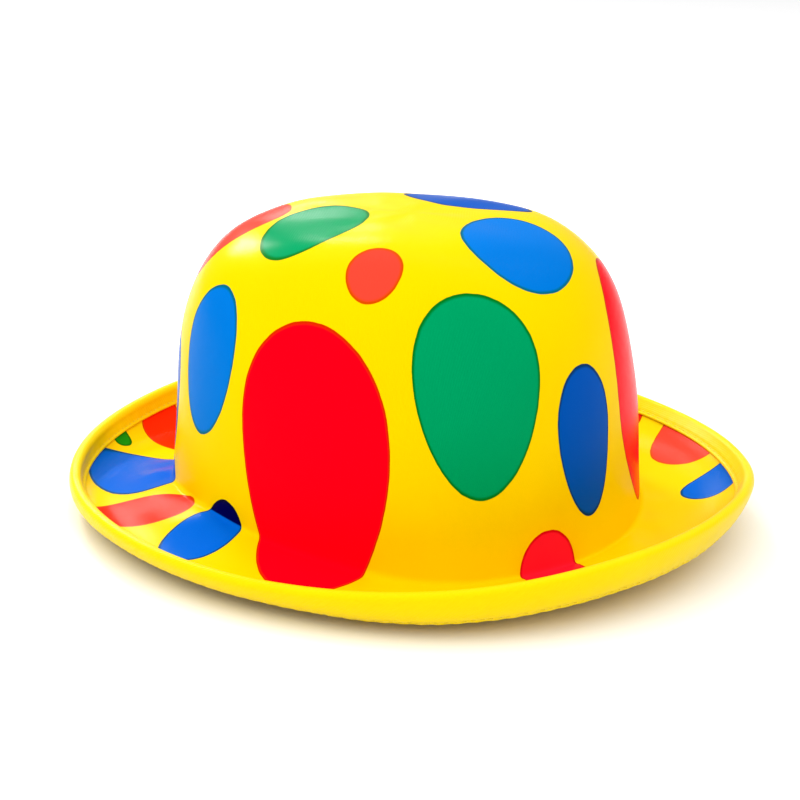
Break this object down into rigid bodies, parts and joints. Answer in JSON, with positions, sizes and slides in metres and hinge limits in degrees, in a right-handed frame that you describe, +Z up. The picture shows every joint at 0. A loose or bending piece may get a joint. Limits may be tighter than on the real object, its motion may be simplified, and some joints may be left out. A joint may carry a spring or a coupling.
{
  "type": "clown hat, a soft bowler with polka dots",
  "caption": "Soft bowler-shaped clown hat with an open domed crown, a rolled brim, large printed polka dots and a folded tape bound over the rim.",
  "frame": {"origin": "centre of the hat's outline in plan, on the floor that the brim rests on", "axes": "+Z up through the crown, -Y towards the front of the hat, +X towards its left side as worn"},
  "size_m": [0.2694, 0.2852, 0.125],
  "materials": {
    "printed_cloth": "satin-faced cloth on soft foam, yellow, printed with large red, blue and green dots",
    "binding_tape": "plain yellow satin tape, folded over the rim and stitched"
  },
  "bodies": {
    "root": {"hat_body": "printed_cloth", "rim_binding": "binding_tape"}
  },
  "joints": []
}
